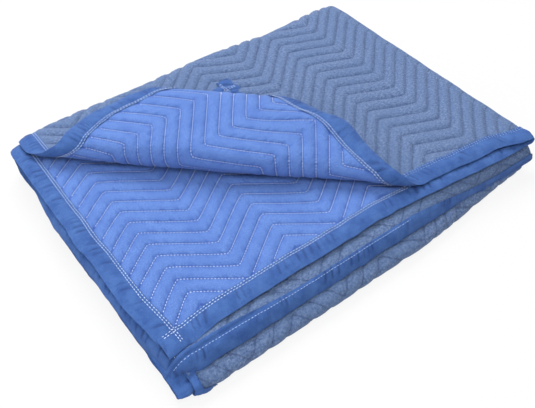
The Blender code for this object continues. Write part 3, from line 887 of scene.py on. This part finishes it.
class Finish:
    """A material under construction."""

    def __init__(self, name, roughness, sheen=0.0):
        self.material = bpy.data.materials.new(name)
        self.material.use_nodes = True
        self.tree = self.material.node_tree
        self.shader = self.tree.nodes["Principled BSDF"]
        set_inputs(self.shader, {"Roughness": roughness, "Specular IOR Level": 0.25,
                                 "Sheen Weight": sheen, "Sheen Roughness": 0.5})

    def node(self, kind, settings=None, sockets=None, out=0):
        made = self.tree.nodes.new(kind)
        for key, value in (settings or {}).items():
            if key == "stops":
                ramp = made.color_ramp
                while len(ramp.elements) < len(value):
                    ramp.elements.new(0.5)
                for element, (position, colour) in zip(ramp.elements, value):
                    element.position, element.color = position, colour
            else:
                setattr(made, key, value)
        for key, value in (sockets or {}).items():
            if isinstance(value, Wire):
                self.tree.links.new(value.socket, made.inputs[key])
            else:
                made.inputs[key].default_value = value
        return Wire(self, made.outputs[out])

    def cloth(self):
        """The surface's place on its own cloth, in metres."""
        return self.node("ShaderNodeAttribute", {"attribute_name": "cloth"}, out="Vector")

    def grain(self, vector, scale, detail=2.0, roughness=0.5, stretch=None):
        """Noise over the first two coordinates."""
        if stretch:
            vector = self.node("ShaderNodeVectorMath", {"operation": "MULTIPLY"},
                               {0: vector, 1: (*stretch, 0.0)})
        return self.node("ShaderNodeTexNoise", {"noise_dimensions": "2D"},
                         {"Vector": vector, "Scale": scale, "Detail": detail, "Roughness": roughness})

    def mix(self, share, first, second):
        return self.node("ShaderNodeMix", {"data_type": "RGBA", "blend_type": "MIX"},
                         {0: share, 6: first, 7: second}, out=2)

    def ramp(self, value, stops):
        return self.node("ShaderNodeValToRGB", {"stops": stops}, {"Fac": value})

    def range(self, value, low, high, to_low=0.0, to_high=1.0):
        return self.node("ShaderNodeMapRange", {"clamp": True},
                         {0: value, 1: low, 2: high, 3: to_low, 4: to_high})

    def colour(self, wire):
        self.tree.links.new(wire.socket, self.shader.inputs["Base Color"])

    def bump(self, height, depth):
        bumped = self.node("ShaderNodeBump", None,
                           {"Strength": 1.0, "Distance": depth, "Height": height})
        self.tree.links.new(bumped.socket, self.shader.inputs["Normal"])


LIGHT = 2.0  # how brightly the studio light falls on a level surface


def linear(value):
    """A display value from 0 to 255 as a shader value."""
    value = value / 255
    return value / 12.92 if value <= 0.04045 else ((value + 0.055) / 1.055) ** 2.4


def seen(*colour):
    """The shader colour that shows as this display colour in the studio light."""
    return tuple(linear(value) / LIGHT for value in colour) + (1.0,)


def near_line(made, cloth, reach, most):
    """How close the surface is to a quilting line: most on the line, none at reach; the finishes darken by it
    as painted shade in the grooves.
    """
    number = made.node("ShaderNodeSeparateXYZ", None, {0: cloth}, out=2)
    off = made.node("ShaderNodeMath", {"operation": "ABSOLUTE"}, {0: ((number + 0.5) % 1.0) - 0.5})
    return made.range(off, 0.0, reach, most, 0.0)


def puckers_by_line(made, cloth, reach):
    """Short creases that cross each quilting line and die away towards the middle of a puff; they give bump,
    and painted shade where the finishes darken them.
    """
    creases = made.grain(cloth, 170.0, 2.0, 0.6, (1.0, 0.3))
    return made.range(creases, 0.42, 0.66) * near_line(made, cloth, reach, 1.0)


def heather_finish():
    made = Finish("heather_cotton", 0.95, 0.08)
    cloth = made.cloth()
    fibres = made.grain(cloth, 900.0, 3.0, 0.6, (1.0, 0.45))
    flecks = made.grain(cloth, 420.0, 2.0, 0.6, (0.5, 1.0))
    patches = made.grain(cloth, 12.0, 2.0)
    tone = made.range(fibres * 0.5 + flecks * 0.5, 0.34, 0.66)
    colour = made.ramp(tone, ((0.0, seen(82, 110, 162)), (0.5, seen(114, 142, 192)),
                              (1.0, seen(152, 175, 214))))
    colour = made.mix(made.range(patches, 0.4, 0.65, 0.0, 0.35), colour, seen(106, 137, 186))
    puckers = puckers_by_line(made, cloth, 0.40)
    # Painted shade: darker in the short creases beside each quilting line
    colour = made.mix(puckers * 0.36, colour, seen(76, 102, 152))
    # Painted shade: darker along each quilting groove, where the cloth is pinched
    made.colour(made.mix(near_line(made, cloth, 0.08, 0.52), colour, seen(60, 80, 130)))
    knit = made.grain(cloth, 1300.0, 2.0, 0.6, (1.0, 0.6))
    crumple = made.grain(cloth, 150.0, 3.0, 0.5)
    made.bump(knit * 0.3 + crumple - puckers * 0.8, 0.0007)
    return made.material


def periwinkle_finish():
    made = Finish("violet_blue_cotton", 0.92, 0.05)
    cloth = made.cloth()
    fibres = made.grain(cloth, 800.0, 3.0, 0.6, (1.0, 0.6))
    patches = made.grain(cloth, 30.0, 3.0)
    colour = made.ramp(made.range(fibres, 0.35, 0.65),
                       ((0.0, seen(94, 135, 222)), (1.0, seen(129, 171, 250))))
    colour = made.mix(made.range(patches, 0.35, 0.7, 0.0, 0.6), colour, seen(98, 138, 223))
    puckers = puckers_by_line(made, cloth, 0.44)
    # Painted shade: darker in the short creases beside each quilting line
    colour = made.mix(puckers * 0.55, colour, seen(68, 107, 205))
    # Painted shade: darker along each quilting groove, where the cloth is pinched
    made.colour(made.mix(near_line(made, cloth, 0.12, 0.75), colour, seen(58, 94, 190)))
    crumple = made.grain(cloth, 170.0, 3.0, 0.5)
    made.bump(fibres * 0.25 + crumple - puckers * 0.9, 0.0010)
    return made.material


def tape_finish():
    made = Finish("woven_tape", 0.85, 0.05)
    cloth = made.cloth()
    weave = made.grain(cloth, 1500.0, 2.0, 0.6, (1.0, 0.25))
    patches = made.grain(cloth, 45.0, 3.0, 0.6)
    colour = made.ramp(made.range(weave * 0.4 + patches * 0.6, 0.35, 0.65),
                       ((0.0, seen(58, 101, 179)), (1.0, seen(84, 129, 205))))
    # Painted shade: the tape darkens in its crosswise creases, whose depth is the third value of its cloth
    # attribute
    crease = made.node("ShaderNodeSeparateXYZ", None, {0: cloth}, out=2)
    made.colour(made.mix(made.range(crease, 0.1, 0.9, 0.0, 0.62), colour, seen(36, 66, 132)))
    crumple = made.grain(cloth, 260.0, 3.0, 0.6, (1.0, 0.35))
    made.bump(weave * 0.2 + crumple, 0.0009)
    return made.material


def thread_finish(name, colour):
    made = Finish(name, 0.6, 0.1)
    coordinates = made.node("ShaderNodeTexCoord", out="Object")
    twist = made.grain(coordinates, 900.0, 1.0)
    light, dark = [[value * share for value in colour] + [1] for share in (1.0, 0.8)]
    made.colour(made.mix(made.range(twist, 0.35, 0.65), light, dark))
    made.bump(twist, 0.0002)
    return made.material


# ---- making the pieces
TAPE_END, SIDE_START = 0.0016, 0.018  # past the side hems, and from the front hems

heather, periwinkle, tape = heather_finish(), periwinkle_finish(), tape_finish()
light_thread = thread_finish("pale_blue_thread", (0.70, 0.82, 1.0))
soft_thread = thread_finish("grey_blue_thread", (0.19, 0.27, 0.42))
tape_thread = thread_finish("mid_blue_thread", (0.26, 0.37, 0.60))
# A dimmer copy of the pale thread: painted shade for the low front hem's stitches, which lie in shade
shaded_thread = thread_finish("pale_thread_painted_shaded", (0.45, 0.60, 0.92))

cloth = build_cloth(heather, periwinkle)
shown = [(STARTS[1], STARTS[2], 0.003), (STARTS[3] - 0.004, STARTS[4] + 0.004, 0.0016),
         (STARTS[5] - 0.004, STARTS[6] + 0.004, 0.0016), (0, STARTS[1], 0.0018),
         (STARTS[6], LENGTH, 0.0022)]
hairpin = [(TOP_ACROSS - 0.002, SECOND + 0.002, 0.0011)]
front_run = stations(-TAPE_END, WIDTH + TAPE_END, 0.0020, hairpin)
side_run = stations(SIDE_START, LENGTH - SIDE_START, 0.006, shown)
dressing = {
    "quilted_cloth": [cloth],
    "front_binding_top": [build_tape("front_tape_top", "front", front_run, tape)],
    "front_binding_low": [build_tape("front_tape_low", "low", front_run, tape)],
    "side_binding_upper": [build_tape("side_tape_upper", "upper", side_run, tape)],
    "side_binding_lower": [build_tape("side_tape_lower", "lower", side_run, tape)],
}


def seen_on_flap(across, along):
    x, y, _ = laid(across, along)
    return (across < TOP_ACROSS) & (along < STARTS[1]) & (behind_roll(x, y) < 0.03)


def seen_on_second(across, along):
    x, y, _ = laid(across, along)
    return (along < STARTS[1]) & (behind_roll(x, y) < 0.035) & (across > SECOND)


def seen_on_top(across, along):
    return along < STARTS[1] + 0.07


flap_lines = quilting_stitches(seen_on_flap, (TAPE + CLEAR, TOP_ACROSS), TOP_LINES)
second_lines = quilting_stitches(seen_on_second, (SECOND + 0.01, WIDTH - TAPE - CLEAR), SECOND_LINES)
inner_lines = [np.concatenate(pair) for pair in zip(flap_lines, second_lines)]
outer_lines = quilting_stitches(seen_on_top, (TAPE + CLEAR, TOP_ACROSS), OUTER_LINES)
dressing["quilted_cloth"] += [
    raise_stitches(inner_lines, False, 0.00056, "quilting_thread_inside", light_thread, 0.0001),
    raise_stitches(outer_lines, True, 0.00040, "quilting_thread_outside", soft_thread, 0.00025),
]
dressing["front_binding_top"] += [
    tape_stitches("front_sewing_top", "front", (-1,), light_thread),
    tape_stitches("front_sewing_outside", "front", (1,), tape_thread),
]
# The low hem's stitches use the dimmer copy of the pale thread as painted shade
low_sewing = tape_stitches("front_sewing_low", "low", (1, -1), shaded_thread, 0.00036)
dressing["front_binding_low"].append(low_sewing)
dressing["side_binding_upper"].append(tape_stitches("side_sewing_upper", "upper", (1, -1), light_thread))
dressing["side_binding_lower"].append(tape_stitches("side_sewing_lower", "lower", (1, -1), light_thread))

for node, pieces in dressing.items():
    for piece in pieces:
        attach(piece, "root")
        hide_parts(node)
tapes = [pieces[0] for node, pieces in dressing.items() if node != "quilted_cloth"]

# ---- floor, light and camera
floor_data = bpy.data.meshes.new("floor")
floor_data.from_pydata([(-9, -9, 0), (9, -9, 0), (9, 9, 0), (-9, 9, 0)], [], [(0, 1, 2, 3)])
floor = put("floor", floor_data)
white = (1.0, 1.0, 1.0, 1)
paper = bpy.data.materials.new("lit_white_table")
paper.use_nodes = True
set_inputs(paper.node_tree.nodes["Principled BSDF"], {
    "Base Color": (0.08, 0.08, 0.08, 1), "Roughness": 1.0, "Specular IOR Level": 0.0,
    "Emission Color": white, "Emission Strength": 0.86,
})
floor_data.materials.append(paper)

world = bpy.data.worlds.new("studio")
scene.world = world
world.use_nodes = True
set_inputs(world.node_tree.nodes["Background"], {"Color": white, "Strength": 0.36})


def area_light(name, place_at, aim, size, power):
    data = bpy.data.lights.new(name, "AREA")
    data.energy, data.size = power, size
    lamp = put(name, data)
    lamp.location = place_at
    lamp.rotation_euler = (Vector(aim) - Vector(place_at)).to_track_quat("-Z", "Y").to_euler()


area_light("key", (0.8, 1.9, 2.7), (0, 0, 0), 1.9, 135)
area_light("overhead", (-0.5, -0.7, 2.2), (0, 0, 0), 1.2, 27)
area_light("front_fill", (-2.0, -1.1, 0.9), (0, 0, 0.05), 1.6, 27)
area_light("back_left", (-0.8, 1.0, 1.1), (-0.1, 0.1, 0), 0.8, 5)

AZIMUTH, ELEVATION, DISTANCE = math.radians(-37.29), math.radians(46.886), 1.0767
TARGET = Vector((-0.0520, -0.05435, 0.0))
SENSOR, FOCAL_LENGTH = 36.0, 46.91
back = Vector((math.sin(AZIMUTH) * math.cos(ELEVATION), -math.cos(AZIMUTH) * math.cos(ELEVATION),
               math.sin(ELEVATION)))
lens = bpy.data.cameras.new("camera")
lens.sensor_width, lens.lens = SENSOR, FOCAL_LENGTH
camera = put("camera", lens)
camera.location = TARGET + back * DISTANCE
camera.rotation_euler = back.to_track_quat("Z", "Y").to_euler()
lens.clip_start = 0.05
scene.camera = camera
scene.view_settings.view_transform = "Standard"
scene.view_settings.look = "None"
